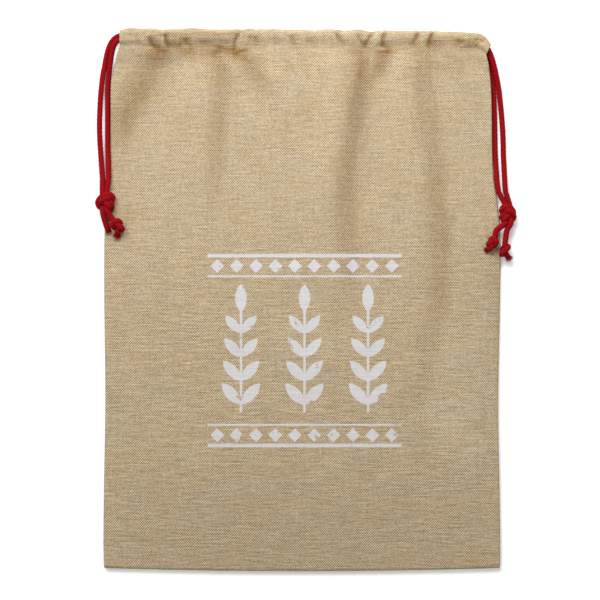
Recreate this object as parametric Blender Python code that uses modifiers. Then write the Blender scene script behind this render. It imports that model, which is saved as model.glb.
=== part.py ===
"""A burlap sack with two drawcords, lying empty on its back.

Metres, +Z up. The back panel lies on z = 0, the mouth points along +Y and the front
panel faces +Z. The origin is on the ground under the middle of the cloth.

Each panel is one sheet of cloth. Its top edge is folded over and stitched down, which
makes the casing that the cords run in. Each cord goes along the front casing, turns round
inside the far end and comes back along the back casing, so that its two ends leave the
sack at the same side, where they are knotted together.
"""

import math

import bmesh
import bpy
from mathutils import Vector

# --- Driving dimensions -----------------------------------------------------------------

SACK_WIDTH = 0.500
SACK_HEIGHT = 0.684
CLOTH = 0.0010
CORD = 0.0065
GAP = 0.0003

CASING_WIDTH = 0.0215
CASING_RISE = 0.0047
MOUTH_GAP = 0.0052
HEM_TURN = 0.0065
SLIT = 0.030

PLATEAU = 0.0165
SIDE_SLOPE = 0.150
BOTTOM_SLOPE = 0.150
BOTTOM_SAG = 0.004
BACK_CURL = 0.035
BACK_RISE = 0.020

# --- Sizes that follow from them --------------------------------------------------------

BOTTOM_Y = -SACK_HEIGHT / 2
PINCH = (CLOTH + GAP) / 2
CASING_THICKNESS = 2 * CASING_RISE + CLOTH
BACK_CASING_Z = CASING_THICKNESS / 2
FRONT_CASING_Z = BACK_CASING_Z + CASING_THICKNESS + MOUTH_GAP
LYING = CORD / 2 + GAP / 2

# How far each side edge lies inside half of SACK_WIDTH, by the height above the bottom
# seam. Near the top the back panel is cut back on the right, where the cord passes it.
# (up, left, right, right of the back panel)
SIDE_INSETS = (
    (0.000, 0.0030, 0.0030, 0.0030),
    (0.007, 0.0000, 0.0000, 0.0000),
    (0.092, 0.0000, 0.0005, 0.0005),
    (0.212, 0.0019, 0.0023, 0.0023),
    (0.342, 0.0006, 0.0000, 0.0000),
    (0.402, 0.0006, -0.0008, -0.0008),
    (0.437, 0.0012, 0.0002, 0.0002),
    (0.469, 0.0036, 0.0035, 0.0035),
    (0.492, 0.0074, 0.0072, 0.0072),
    (0.514, 0.0090, 0.0092, 0.0092),
    (0.595, 0.0088, 0.0111, 0.0111),
    (0.622, 0.0102, 0.0128, 0.0140),
    (0.642, 0.0153, 0.0157, 0.0245),
    (0.651, 0.0175, 0.0180, 0.0300),
    (0.662, 0.0208, 0.0180, 0.0362),
)

# The stitch line under the casing, by the fraction across the panel from left to right.
# (across, y on the front, y on the back)
STITCH_LINE = (
    (0.000, 0.3207, 0.3207),
    (0.080, 0.3196, 0.3196),
    (0.500, 0.3188, 0.3188),
    (0.900, 0.3172, 0.3172),
    (0.970, 0.3158, 0.3166),
    (0.985, 0.3140, 0.3165),
    (1.000, 0.3093, 0.3165),
)

# The front casing bends down round its right-hand corner.
# (across, casing width, lean of the casing's section in degrees)
CASING_END = (
    (0.000, 0.0185, 0.0),
    (0.012, 0.0205, 0.0),
    (0.030, 0.0215, 0.0),
    (0.500, 0.0215, 0.0),
    (0.940, 0.0205, 0.0),
    (0.970, 0.0205, 9.0),
    (0.985, 0.0185, 16.0),
    (1.000, 0.0138, 25.0),
)

# The folded-in layer of a casing stops short of the panel's ends, so that a cord can turn
# round from one casing to the other.
INNER_LAYER_CUT_LEFT = 0.0220
INNER_LAYER_CUT_RIGHT = 0.0340

# Height of the side seam, by the distance below the stitch line.
SEAM_HEIGHT = (
    (SLIT, 0.0128),
    (0.070, 0.0104),
    (0.130, 0.0066),
    (0.180, 0.0046),
    (0.700, 0.0046),
)

# Height of the middle of the front panel, by the distance below the stitch line.
FRONT_HEIGHT = (
    (0.000, FRONT_CASING_Z + PINCH),
    (0.030, FRONT_CASING_Z),
    (0.130, 0.0185),
    (0.250, PLATEAU),
    (0.700, PLATEAU),
)

# Folds of the front panel: a crest from its top to its bottom end, with a soft side on the
# left and a steep side on the right (the other way round where steep is negative).
# (crest as (x, y) points, height, soft width, steep width)
FOLDS = (
    (((-0.198, 0.312), (-0.219, 0.278), (-0.236, 0.222)), 0.0035, 0.030, 0.010),
    (((-0.108, 0.313), (-0.104, 0.263), (-0.112, 0.190), (-0.123, 0.127)), 0.0028, 0.022, 0.010),
    (((-0.074, 0.313), (-0.064, 0.300), (-0.042, 0.276)), 0.0022, 0.022, -0.010),
    (((0.068, 0.312), (0.064, 0.272), (0.055, 0.215), (0.047, 0.130), (0.046, 0.001)),
     0.0042, 0.026, 0.009),
    (((0.086, 0.312), (0.084, 0.278)), 0.0018, 0.010, 0.009),
    (((0.139, 0.310), (0.140, 0.265), (0.148, 0.190), (0.164, 0.080), (0.155, -0.088)),
     0.0030, 0.024, 0.010),
    (((0.176, 0.310), (0.197, 0.272)), 0.0016, 0.018, 0.010),
)

# A fold starts this far above its crest's top end, as a fraction of its length, and fades
# over this fraction of it at the bottom.
FOLD_LEAD = 0.20
FOLD_FADE = 0.625

# Strips at the front panel's edges where the folds die out.
CALM_SIDE = 0.020
CALM_BOTTOM = 0.050
CALM_TOP = 0.015

# Gathers of the front casing, where the cloth is bunched on the cords.
# (x, half width, height of the bulge, push of the mouth edge along +Y)
GATHERS = (
    (-0.212, 0.012, 0.0010, 0.0010),
    (-0.186, 0.011, 0.0018, 0.0012),
    (-0.148, 0.014, 0.0016, 0.0016),
    (-0.066, 0.013, 0.0012, -0.0008),
    (-0.010, 0.020, 0.0008, 0.0000),
    (0.040, 0.014, 0.0010, 0.0008),
    (0.080, 0.012, 0.0016, -0.0006),
    (0.130, 0.014, 0.0014, 0.0006),
    (0.180, 0.013, 0.0014, -0.0010),
)

# Where the two cords run, measured up from the stitch line. They follow that line only up
# to LANE_END, the fraction across where the casing starts to bend round its corner.
LOW_LANE = 0.0074
HIGH_LANE = 0.0152
LANE_END = 0.93
LEFT_TURN_X = -0.213
RIGHT_TURN_X = 0.203
LEFT_JOIN_X = -0.2060
RIGHT_JOIN_X = 0.1930

# The free strands, from inside their casing's end to the knot that ties them together.
LEFT_INNER_ROUTE = (
    (-0.2064, 0.3276, FRONT_CASING_Z), (-0.2190, 0.3279, 0.0206), (-0.2295, 0.3278, 0.0200),
    (-0.2337, 0.3252, 0.0192), (-0.2368, 0.3206, 0.0172), (-0.2389, 0.3145, 0.0146),
    (-0.2406, 0.3075, 0.0118), (-0.2420, 0.2990, 0.0092), (-0.2434, 0.2895, 0.0066),
    (-0.2448, 0.2790, 0.0046), (-0.2457, 0.2650, 0.0036), (-0.2457, 0.2480, LYING),
    (-0.2457, 0.2280, LYING), (-0.2457, 0.2050, LYING), (-0.2455, 0.1900, 0.0042),
    (-0.2446, 0.1740, 0.0076), (-0.2440, 0.1570, 0.0104), (-0.2436, 0.1450, 0.0116),
    (-0.2440, 0.1372, 0.0124),
)
LEFT_OUTER_ROUTE = (
    (-0.2064, 0.3354, BACK_CASING_Z), (-0.2190, 0.3356, BACK_CASING_Z), (-0.2300, 0.3350, 0.0051),
    (-0.2350, 0.3330, 0.0048), (-0.2395, 0.3288, 0.0044), (-0.2430, 0.3228, 0.0040),
    (-0.2458, 0.3150, 0.0037), (-0.2478, 0.3060, 0.0035), (-0.2496, 0.2960, LYING),
    (-0.2516, 0.2860, LYING), (-0.2532, 0.2730, LYING), (-0.2546, 0.2580, LYING),
    (-0.2556, 0.2400, LYING), (-0.2561, 0.2220, LYING), (-0.2556, 0.2040, LYING),
    (-0.2546, 0.1880, 0.0036), (-0.2536, 0.1750, 0.0050), (-0.2524, 0.1620, 0.0074),
    (-0.2512, 0.1500, 0.0098), (-0.2510, 0.1420, 0.0112), (-0.2511, 0.1368, 0.0122),
)
RIGHT_OUTER_ROUTE = (
    (0.1934, 0.3324, FRONT_CASING_Z), (0.2070, 0.3322, FRONT_CASING_Z), (0.2165, 0.3316, 0.0207),
    (0.2215, 0.3300, 0.0205), (0.2265, 0.3268, 0.0200), (0.2308, 0.3222, 0.0192),
    (0.2344, 0.3166, 0.0180), (0.2376, 0.3100, 0.0164), (0.2404, 0.3025, 0.0144),
    (0.2429, 0.2940, 0.0118), (0.2450, 0.2855, 0.0092), (0.2472, 0.2760, 0.0066),
    (0.2493, 0.2645, 0.0044), (0.2510, 0.2500, 0.0035), (0.2526, 0.2340, LYING),
    (0.2538, 0.2170, LYING), (0.2546, 0.2000, LYING), (0.2549, 0.1840, LYING),
    (0.2557, 0.1680, 0.0040), (0.2564, 0.1520, 0.0060), (0.2572, 0.1380, 0.0080),
    (0.2584, 0.1270, 0.0091), (0.2592, 0.1205, 0.0093),
)
RIGHT_INNER_ROUTE = (
    (0.1934, 0.3246, BACK_CASING_Z), (0.2070, 0.3248, 0.0053), (0.2165, 0.3248, 0.0053),
    (0.2220, 0.3233, 0.0052), (0.2266, 0.3198, 0.0049), (0.2302, 0.3148, 0.0046),
    (0.2332, 0.3090, 0.0042), (0.2356, 0.3025, 0.0039), (0.2378, 0.2945, 0.0036),
    (0.2396, 0.2850, LYING), (0.2410, 0.2750, LYING), (0.2424, 0.2620, LYING),
    (0.2432, 0.2460, LYING), (0.2437, 0.2290, LYING), (0.2440, 0.2110, LYING),
    (0.2443, 0.1940, LYING), (0.2449, 0.1780, 0.0038), (0.2457, 0.1640, 0.0054),
    (0.2465, 0.1500, 0.0080), (0.2483, 0.1380, 0.0090), (0.2505, 0.1270, 0.0093),
    (0.2519, 0.1195, 0.0093),
)

# The short tails past those knots.
LEFT_LONG_TAIL_ROUTE = (
    (-0.2430, 0.1105, 0.0150), (-0.2412, 0.1060, 0.0156), (-0.2387, 0.1016, 0.0162),
)
LEFT_SHORT_TAIL_ROUTE = (
    (-0.2500, 0.1096, 0.0122), (-0.2492, 0.1030, 0.0108), (-0.2484, 0.0955, 0.0099),
    (-0.2484, 0.0880, 0.0097),
)
RIGHT_INNER_TAIL_ROUTE = (
    (0.2524, 0.1000, 0.0106), (0.2482, 0.0930, 0.0118), (0.2440, 0.0858, 0.0126),
    (0.2404, 0.0790, 0.0134),
)
RIGHT_OUTER_TAIL_ROUTE = (
    (0.2600, 0.0970, 0.0098), (0.2590, 0.0900, 0.0106), (0.2574, 0.0825, 0.0116),
    (0.2556, 0.0748, 0.0126),
)

# Knots, as the smooth outer shape of each.
# (name, centre, half sizes)
KNOTS = (
    ("left_knot", (-0.2475, 0.1235, 0.0150), (0.0115, 0.0135, 0.0085)),
    ("left_end_knot", (-0.2335, 0.0932, 0.0170), (0.0092, 0.0092, 0.0085)),
    ("right_knot", (0.2600, 0.1090, 0.0094), (0.0102, 0.0112, 0.0085)),
    ("right_inner_end_knot", (0.2375, 0.0718, 0.0140), (0.0075, 0.0072, 0.0062)),
    ("right_outer_end_knot", (0.2545, 0.0655, 0.0128), (0.0080, 0.0088, 0.0065)),
)

# --- Materials --------------------------------------------------------------------------

BURLAP = {"name": "burlap", "color": (0.52, 0.41, 0.25), "roughness": 0.95}
RED_CORD = {"name": "red_cord", "color": (0.38, 0.012, 0.016), "roughness": 0.8}

# --- Grid of the panels -----------------------------------------------------------------

END_COLUMNS = (0.0, 0.012, 0.030)
FRONT_COLUMNS = 44
PANEL_ROWS = 19
ROW_EVENNESS = 0.65
BACK_END_COLUMNS = (0.0, 0.020, 0.045, 0.080)
BACK_COLUMNS = 8

# The casing's section: a stitched edge, a level top and a round nose, as fractions of the
# casing's width, and the angles at which the nose has points.
RAMP_STATIONS = (0.09, 0.18, 0.27, 0.36)
NOSE_START = 0.716
NOSE_ANGLES = (35.0, 65.0, 90.0, 120.0, 150.0)
CUT_ANGLE = 100.0

CORD_SPACING = 2.4 * CORD
TURN_STEPS = 8
KNOT_SEGMENTS = 14
KNOT_RINGS = 9


# --- Small tools ------------------------------------------------------------------------

def lerp(a, b, t):
    return a + (b - a) * t


def ease(t):
    t = min(max(t, 0.0), 1.0)
    return 0.5 - 0.5 * math.cos(math.pi * t)


def read_rows(rows, key, column=1):
    """Value of a column at key, on a smooth curve through the table's rows."""
    if key <= rows[0][0]:
        return rows[0][column]
    if key >= rows[-1][0]:
        return rows[-1][column]
    i = next(n for n in range(len(rows) - 1) if rows[n + 1][0] >= key)
    low = rows[max(i - 1, 0)]
    a, b = rows[i], rows[i + 1]
    high = rows[min(i + 2, len(rows) - 1)]
    step = b[0] - a[0]
    slope_a = (b[column] - low[column]) / (b[0] - low[0]) * step
    slope_b = (high[column] - a[column]) / (high[0] - a[0]) * step
    t = (key - a[0]) / step
    return (
        (2 * t**3 - 3 * t**2 + 1) * a[column]
        + (t**3 - 2 * t**2 + t) * slope_a
        + (3 * t**2 - 2 * t**3) * b[column]
        + (t**3 - t**2) * slope_b
    )


def smooth_route(points, spacing):
    """Points at even distances on a smooth curve through the given ones."""
    points = [Vector(p) for p in points]
    along = [0.0]
    for a, b in zip(points, points[1:]):
        along.append(along[-1] + (b - a).length)
    tables = [[(s, p[axis]) for s, p in zip(along, points)] for axis in range(3)]
    count = max(2, round(along[-1] / spacing)) + 1
    return [
        Vector([read_rows(table, along[-1] * n / (count - 1)) for table in tables])
        for n in range(count)
    ]


def make_material(look):
    material = bpy.data.materials.get(look["name"])
    if material:
        return material
    material = bpy.data.materials.new(look["name"])
    material.use_nodes = True
    shader = material.node_tree.nodes["Principled BSDF"]
    shader.inputs["Base Color"].default_value = (*look["color"], 1.0)
    shader.inputs["Roughness"].default_value = look["roughness"]
    return material


def finish_object(name, data, look, collection):
    data.materials.append(make_material(look))
    obj = bpy.data.objects.new(name, data)
    collection.objects.link(obj)
    return obj


# --- The panels -------------------------------------------------------------------------

def edge_x(y, is_front):
    """The left and right ends of a panel at a height y."""
    up = y - BOTTOM_Y
    left = -SACK_WIDTH / 2 + read_rows(SIDE_INSETS, up, 1)
    right = SACK_WIDTH / 2 - read_rows(SIDE_INSETS, up, 2 if is_front else 3)
    return left, right


def stitch_point(across, is_front):
    y = read_rows(STITCH_LINE, across, 1 if is_front else 2)
    left, right = edge_x(y, is_front)
    return lerp(left, right, across), y


def bottom_y(across):
    """The bottom seam sags a little in its middle."""
    return BOTTOM_Y + BOTTOM_SAG * (2 * across - 1) ** 2


def fold_rise(x, y):
    """How far the folds lift the front panel."""
    rise = 0.0
    for crest, height, soft, steep in FOLDS:
        rows = [(-py, px) for px, py in crest]
        top, end = crest[0][1], crest[-1][1]
        down = (top - y) / (top - end)
        if down < -FOLD_LEAD or down > 1.0:
            continue
        side = x - read_rows(rows, -y)
        if steep < 0:
            side = -side
        width = soft if side < 0 else abs(steep)
        fade = ease((1.0 - down) / FOLD_FADE) * ease((down + FOLD_LEAD) / FOLD_LEAD)
        rise += height * fade * math.exp(-(side / width) ** 2)
    return rise


def gather(x, column):
    return sum(row[column] * math.exp(-((x - row[0]) / row[1]) ** 2) for row in GATHERS)


def seam_end_height(below, at_stitch):
    """Height of a panel's side edge, which leaves the seam at the slit for the cords."""
    if below < SLIT:
        return lerp(at_stitch, read_rows(SEAM_HEIGHT, SLIT), ease(below / SLIT))
    return read_rows(SEAM_HEIGHT, below)


def front_height(x, y, below, from_side, from_bottom):
    at_stitch = FRONT_CASING_Z + PINCH
    edge = seam_end_height(below, at_stitch)
    edge += PINCH * min(1.0, below / SLIT)
    middle = read_rows(FRONT_HEIGHT, below)
    side = math.sin(math.pi / 2 * min(1.0, from_side / SIDE_SLOPE))
    bottom = math.sin(math.pi / 2 * min(1.0, from_bottom / BOTTOM_SLOPE))
    calm = ease(from_side / CALM_SIDE) * ease(from_bottom / CALM_BOTTOM) * ease(below / CALM_TOP)
    return edge + (middle - edge) * side * bottom + fold_rise(x, y) * calm


def back_height(x, y, below, from_side, from_bottom):
    at_stitch = BACK_CASING_Z - PINCH
    edge = seam_end_height(below, at_stitch)
    edge -= PINCH * min(1.0, below / SLIT)
    middle = lerp(at_stitch, CLOTH / 2, ease(below / BACK_RISE))
    side = max(0.0, 1.0 - from_side / BACK_CURL) ** 2
    bottom = max(0.0, 1.0 - from_bottom / BACK_CURL) ** 2
    curl = 1.0 - (1.0 - side) * (1.0 - bottom)
    return lerp(middle, edge, curl)


def panel_point(is_front, across, up):
    """A point of a panel between its bottom seam (up = 0) and its stitch line (up = 1)."""
    stitch_x, stitch_y = stitch_point(across, is_front)
    low = bottom_y(across)
    y = lerp(low, stitch_y, up)
    left, right = edge_x(y, is_front)
    x = lerp(left, right, across)
    from_side = min(x - left, right - x)
    height = front_height if is_front else back_height
    return Vector((x, y, height(x, y, stitch_y - y, from_side, y - low)))


def casing_shape(across, is_front):
    if not is_front:
        return CASING_WIDTH, 0.0
    return read_rows(CASING_END, across, 1), math.radians(read_rows(CASING_END, across, 2))


def casing_point(is_front, across, station):
    """A point of the casing's section, which is measured from the stitch line."""
    width, lean = casing_shape(across, is_front)
    x, y = stitch_point(across, is_front)
    half_height = station["half_height"]
    if is_front and station["is_outer"]:
        half_height += gather(x, 2) * (half_height - PINCH) / (CASING_RISE - PINCH)
    push = gather(x, 3) * max(0.0, station["out"]) if is_front else 0.0
    reach = width * station["out"] + push
    middle = FRONT_CASING_Z if is_front else BACK_CASING_Z
    outward = 1.0 if is_front == station["is_outer"] else -1.0
    return Vector((
        x + reach * math.sin(lean),
        y + reach * math.cos(lean),
        middle + outward * half_height,
    ))


def casing_stations():
    """The casing's section: up its outer layer, round the nose and back down to the hem."""
    def station(out, half_height, is_outer, is_cut):
        return {"out": out, "half_height": half_height, "is_outer": is_outer, "is_cut": is_cut}

    def ramp(out):
        return lerp(PINCH, CASING_RISE, ease(out / RAMP_STATIONS[-1]))

    outer = [station(out, ramp(out), True, False) for out in RAMP_STATIONS]
    outer.append(station(NOSE_START, CASING_RISE, True, False))
    nose = []
    for angle in NOSE_ANGLES:
        turn = math.radians(angle)
        out = NOSE_START + (1.0 - NOSE_START) * math.sin(turn)
        half_height = CASING_RISE * abs(math.cos(turn))
        nose.append(station(out, half_height, angle <= 90.0, angle > CUT_ANGLE))
    inner = [station(NOSE_START, CASING_RISE, False, True)]
    inner += [station(out, ramp(out), False, True) for out in reversed(RAMP_STATIONS)]
    inner.append(station(0.0, PINCH, False, True))
    inner.append(station(-HEM_TURN / CASING_WIDTH, PINCH, False, True))
    return outer + nose + inner


def even_places(ends, count):
    """Places from 0 to 1: the given ones at each end and even ones between."""
    last = ends[-1]
    middle = [lerp(last, 1.0 - last, n / count) for n in range(1, count)]
    return list(ends) + middle + [1.0 - e for e in reversed(ends)]


def make_panel(name, is_front, columns, rows, collection):
    """A grid laid over the panel and round its casing, thickened to the cloth."""
    stations = casing_stations()
    total = len(rows) + len(stations)
    mesh = bpy.data.meshes.new(name)
    bm = bmesh.new()
    bmesh.ops.create_grid(bm, x_segments=len(columns) - 1, y_segments=total - 1, size=0.5)
    cut = []
    for face in bm.faces:
        middle = face.calc_center_median()
        row = (middle.y + 0.5) * (total - 1) - len(rows)
        across = read_rows(list(enumerate(columns)), (middle.x + 0.5) * (len(columns) - 1))
        near_end = (
            across * SACK_WIDTH < INNER_LAYER_CUT_LEFT
            or (1.0 - across) * SACK_WIDTH < INNER_LAYER_CUT_RIGHT
        )
        if row > 0 and stations[math.ceil(row)]["is_cut"] and near_end:
            cut.append(face)
    bmesh.ops.delete(bm, geom=cut, context="FACES")
    for vert in bm.verts:
        column = round((vert.co.x + 0.5) * (len(columns) - 1))
        row = round((vert.co.y + 0.5) * (total - 1))
        across = columns[column]
        if row < len(rows):
            vert.co = panel_point(is_front, across, rows[row])
        else:
            vert.co = casing_point(is_front, across, stations[row - len(rows)])
    if not is_front:
        bmesh.ops.reverse_faces(bm, faces=bm.faces)
    bm.to_mesh(mesh)
    bm.free()
    mesh.shade_smooth()
    panel = finish_object(name, mesh, BURLAP, collection)
    solidify = panel.modifiers.new("cloth", "SOLIDIFY")
    solidify.thickness = CLOTH
    solidify.offset = 0.0
    solidify.use_even_offset = True
    return panel


# --- The cords --------------------------------------------------------------------------

def make_cord(name, points, collection):
    curve = bpy.data.curves.new(name, "CURVE")
    curve.dimensions = "3D"
    curve.bevel_depth = CORD / 2
    curve.bevel_resolution = 2
    curve.use_fill_caps = True
    spline = curve.splines.new("POLY")
    spline.points.add(len(points) - 1)
    for target, point in zip(spline.points, points):
        target.co = (*point, 1.0)
    return finish_object(name, curve, RED_CORD, collection)


def lane_point(x, lane, z):
    """A point of a cord inside a casing."""
    left, right = edge_x(STITCH_LINE[0][1], True)
    across = (x - left) / (right - left)
    return Vector((x, read_rows(STITCH_LINE, min(across, LANE_END)) + lane, z))


def held_run(join_x, turn_x, front_lane, back_lane):
    """A cord's run along both casings, with its turn from the front one to the back one."""
    steps = round(abs(turn_x - join_x) / CORD_SPACING)
    places = [lerp(join_x, turn_x, n / steps) for n in range(steps + 1)]
    front = [lane_point(x, front_lane, FRONT_CASING_Z) for x in places]
    back = [lane_point(x, back_lane, BACK_CASING_Z) for x in reversed(places)]
    middle = (front[-1] + back[0]) / 2
    radius = front[-1] - middle
    outward = Vector((math.copysign(radius.length, turn_x - join_x), 0.0, 0.0))
    turn = []
    for n in range(1, TURN_STEPS):
        angle = math.pi * n / TURN_STEPS
        turn.append(middle + radius * math.cos(angle) + outward * math.sin(angle))
    return front + turn + back


def make_knot(name, centre, half_sizes, collection):
    mesh = bpy.data.meshes.new(name)
    bm = bmesh.new()
    bmesh.ops.create_uvsphere(bm, u_segments=KNOT_SEGMENTS, v_segments=KNOT_RINGS, radius=1.0)
    bmesh.ops.scale(bm, vec=half_sizes, verts=bm.verts)
    bm.to_mesh(mesh)
    bm.free()
    mesh.shade_smooth()
    knot = finish_object(name, mesh, RED_CORD, collection)
    knot.location = centre
    return knot


# --- Build ------------------------------------------------------------------------------

def build():
    for obj in list(bpy.data.objects):
        bpy.data.objects.remove(obj, do_unlink=True)
    sack = bpy.data.collections.new("burlap_sack")
    bpy.context.scene.collection.children.link(sack)

    front_columns = even_places(END_COLUMNS, FRONT_COLUMNS)
    steps = [n / PANEL_ROWS for n in range(PANEL_ROWS + 1)]
    rows = [lerp(ease(step), step, ROW_EVENNESS) for step in steps]
    make_panel("front_panel", True, front_columns, rows, sack)
    back_columns = even_places(BACK_END_COLUMNS, BACK_COLUMNS)
    make_panel("back_panel", False, back_columns, rows, sack)

    make_cord("left_cord_run", held_run(LEFT_JOIN_X, RIGHT_TURN_X, LOW_LANE, HIGH_LANE), sack)
    make_cord("right_cord_run", held_run(RIGHT_JOIN_X, LEFT_TURN_X, HIGH_LANE, LOW_LANE), sack)
    free_cords = {
        "left_inner_strand": LEFT_INNER_ROUTE,
        "left_outer_strand": LEFT_OUTER_ROUTE,
        "right_inner_strand": RIGHT_INNER_ROUTE,
        "right_outer_strand": RIGHT_OUTER_ROUTE,
        "left_long_tail": LEFT_LONG_TAIL_ROUTE,
        "left_short_tail": LEFT_SHORT_TAIL_ROUTE,
        "right_inner_tail": RIGHT_INNER_TAIL_ROUTE,
        "right_outer_tail": RIGHT_OUTER_TAIL_ROUTE,
    }
    for name, route in free_cords.items():
        make_cord(name, smooth_route(route, CORD_SPACING), sack)
    for name, centre, half_sizes in KNOTS:
        make_knot(name, centre, half_sizes, sack)


build()
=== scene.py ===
"""The looks of a burlap sack with two red drawcords, lying on its back on a pale floor.

Metres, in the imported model's frame: +Y towards the mouth, +Z out of the front panel.
The cloth has the solid panels' sizes with finer folds, and the cords the solid cords' routes.
"""

from functools import partial, reduce
from math import atan2, copysign, cos, pi, radians, sin, sqrt

import bmesh
import bpy
import numpy as np
from mathutils import Matrix, Vector


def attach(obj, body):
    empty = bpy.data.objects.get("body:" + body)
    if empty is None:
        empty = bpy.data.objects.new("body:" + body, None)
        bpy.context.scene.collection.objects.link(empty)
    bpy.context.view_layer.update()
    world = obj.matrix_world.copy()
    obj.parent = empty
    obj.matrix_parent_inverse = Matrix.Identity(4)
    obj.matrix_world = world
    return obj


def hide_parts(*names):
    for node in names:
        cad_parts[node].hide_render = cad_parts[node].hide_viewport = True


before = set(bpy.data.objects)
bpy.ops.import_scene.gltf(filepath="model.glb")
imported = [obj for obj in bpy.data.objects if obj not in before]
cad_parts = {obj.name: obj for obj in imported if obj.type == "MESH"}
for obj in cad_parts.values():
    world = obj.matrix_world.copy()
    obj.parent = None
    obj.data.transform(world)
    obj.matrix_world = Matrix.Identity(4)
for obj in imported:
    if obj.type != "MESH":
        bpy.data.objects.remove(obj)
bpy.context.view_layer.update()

# --- The photograph's framing ---

PIXEL = 0.00126
MIDDLE_PIXEL = (301.9, 300.5)
FRAME_PIXELS = 600
CAMERA_HEIGHT = 3.0
CLOTH_LEVEL = 0.016

# --- Sizes, the same as the solid model's ---

SACK_WIDTH = 0.5
SACK_HEIGHT = 0.684
CLOTH = 0.001
CORD = 0.0065
GAP = 0.0003

CASING_WIDTH = 0.0215
CASING_RISE = 0.0047
MOUTH_GAP = 0.0052
HEM_TURN = 0.0065
SLIT = 0.03

PLATEAU = 0.0165
FRONT_SLOPE = 0.15
BOTTOM_SAG = 0.004
BACK_CURL = 0.035
BACK_RISE = 0.02

BOTTOM_Y = -SACK_HEIGHT / 2
PINCH = (CLOTH + GAP) / 2
CASING_THICKNESS = 2 * CASING_RISE + CLOTH
BACK_CASING_Z = CASING_THICKNESS / 2
FRONT_CASING_Z = BACK_CASING_Z + CASING_THICKNESS + MOUTH_GAP
LYING = CORD / 2 + GAP / 2

# How far the side edges lie inside half of SACK_WIDTH.
# (height above the bottom, left, right and right of the back panel, in millimetres)
SIDE_INSETS = np.array((
    (0, 3, 3, 3), (7, 0, 0, 0), (92, 0, 0.5, 0.5), (212, 1.9, 2.3, 2.3), (342, 0.6, 0, 0),
    (402, 0.6, -0.8, -0.8), (437, 1.2, 0.2, 0.2), (469, 3.6, 3.5, 3.5), (492, 7.4, 7.2, 7.2),
    (514, 9, 9.2, 9.2), (595, 8.8, 11.1, 11.1), (622, 10.2, 12.8, 14), (642, 15.3, 15.7, 24.5),
    (651, 17.5, 18, 30), (662, 20.8, 18, 36.2),
)) / 1000

# The stitch line under the casing, by the fraction across from left to right.
# (across, y on the front, y on the back)
STITCH_LINE = (
    (0.0, 0.3207, 0.3207), (0.08, 0.3196, 0.3196), (0.5, 0.3188, 0.3188), (0.9, 0.3172, 0.3172),
    (0.97, 0.3158, 0.3166), (0.985, 0.314, 0.3165), (1.0, 0.3093, 0.3165),
)

# The front casing bends down round its right-hand corner.
# (across, casing width, lean of the casing's section in degrees)
CASING_END = (
    (0.0, 0.0185, 0.0), (0.012, 0.0205, 0.0), (0.03, 0.0215, 0.0), (0.5, 0.0215, 0.0),
    (0.94, 0.0205, 0.0), (0.97, 0.0205, 9.0), (0.985, 0.0185, 16.0), (1.0, 0.0138, 25.0),
)

# Where the casing's inner layer ends, from the left and from the right side.
INNER_LAYER_CUTS = (0.022, 0.034)

# Heights of the side seam and of the front panel's middle, by the distance below the stitches.
SEAM_HEIGHT = ((SLIT, 0.0128), (0.07, 0.0104), (0.13, 0.0066), (0.18, 0.0046), (0.7, 0.0046))
FRONT_HEIGHT = (
    (0.0, FRONT_CASING_Z + PINCH), (0.03, FRONT_CASING_Z), (0.13, 0.0185), (0.25, PLATEAU),
    (0.7, PLATEAU),
)

# --- Folds and gathers of the cloth, and their painted shade ---

# Folds of the front panel: a crest from top to bottom, soft on its left and steep on its right
# (the other way round where steep is negative); its steep side gets painted shade, as dark as its
# shade.
# (crest as (x, y) points, height, soft width and steep width in millimetres, painted shade)
FOLDS = (
    (((-174, 302), (-193, 265), (-214, 225), (-234, 183), (-246, 150)), -3.6, 35, -26, 0.44),
    (((-117, 314), (-115, 254), (-119, 154), (-126, 75)), 3.6, 35, 12, 0.28),
    (((-86, 314), (-76, 296), (-56, 268), (-44, 245)), 2.8, 20, 14, 0.4),
    (((63, 315), (59, 268), (50, 201), (43, 154), (43, 89), (46, -20), (50, -50)),
     6.2, 40, 15, 0.36),
    (((99, 315), (89, 292), (80, 266)), 2.6, 10, 11, 0.58),
    (((140, 314), (140, 254), (151, 187), (158, 122), (161, 55), (157, -12), (138, -90), (98, -190)),
     4.6, 40, 16, 0.26),
    (((226, 70), (216, -40), (180, -150)), 2.6, 45, 30, 0),
    (((176, 312), (190, 292), (206, 274)), 2, 12, 8, 0.12),
    (((-6, 314), (-5, 270)), 1.2, 6, 6, 0.09),
    (((-35, 240), (-37, 140)), 0.8, 14, 14, 0.07),
    (((-215, -290), (-190, -300), (-150, -310)), 1.2, 20, 14, 0.12),
)
FOLD_LEAD = 0.2
FOLD_FADE = 0.625
CALM_SIDE = 0.02
CALM_BOTTOM = 0.05
CALM_TOP = 0.022

# How much higher the front casing is than the solid model's, and how far across it reaches
# its full height.
# (x and extra height in millimetres, full height from, in hundredths of the width)
CASING_SHAPE = np.array((
    (-250, 0, 36), (-208, 0, 40), (-188, 1.8, 60), (-165, 1.8, 62), (-150, 1.2, 60),
    (-120, 1.8, 62), (-90, 2, 68), (-70, 0.4, 72), (-55, 0, 72), (50, 0, 72), (70, 0.8, 68),
    (100, 1, 68), (125, 0, 72), (145, 0.8, 68), (168, 1, 68), (188, 0, 56), (208, 0.4, 40),
    (240, 0, 36),
)) / (1000, 1000, 100)

# How far the front stitch line sags below the solid model's.
# (x and sag in millimetres)
STITCH_SAG = np.array((
    (-250, 0), (-212, 0), (-188, 3), (-172, 3), (-142, 1.2), (-112, 3.6), (-86, 5.4), (-68, 2.6),
    (-45, 0.4), (0, 0.8), (40, 1), (75, 2.6), (102, 3.4), (130, 1.2), (165, 1.4), (190, 0),
    (250, 0),
)) / 1000
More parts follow.
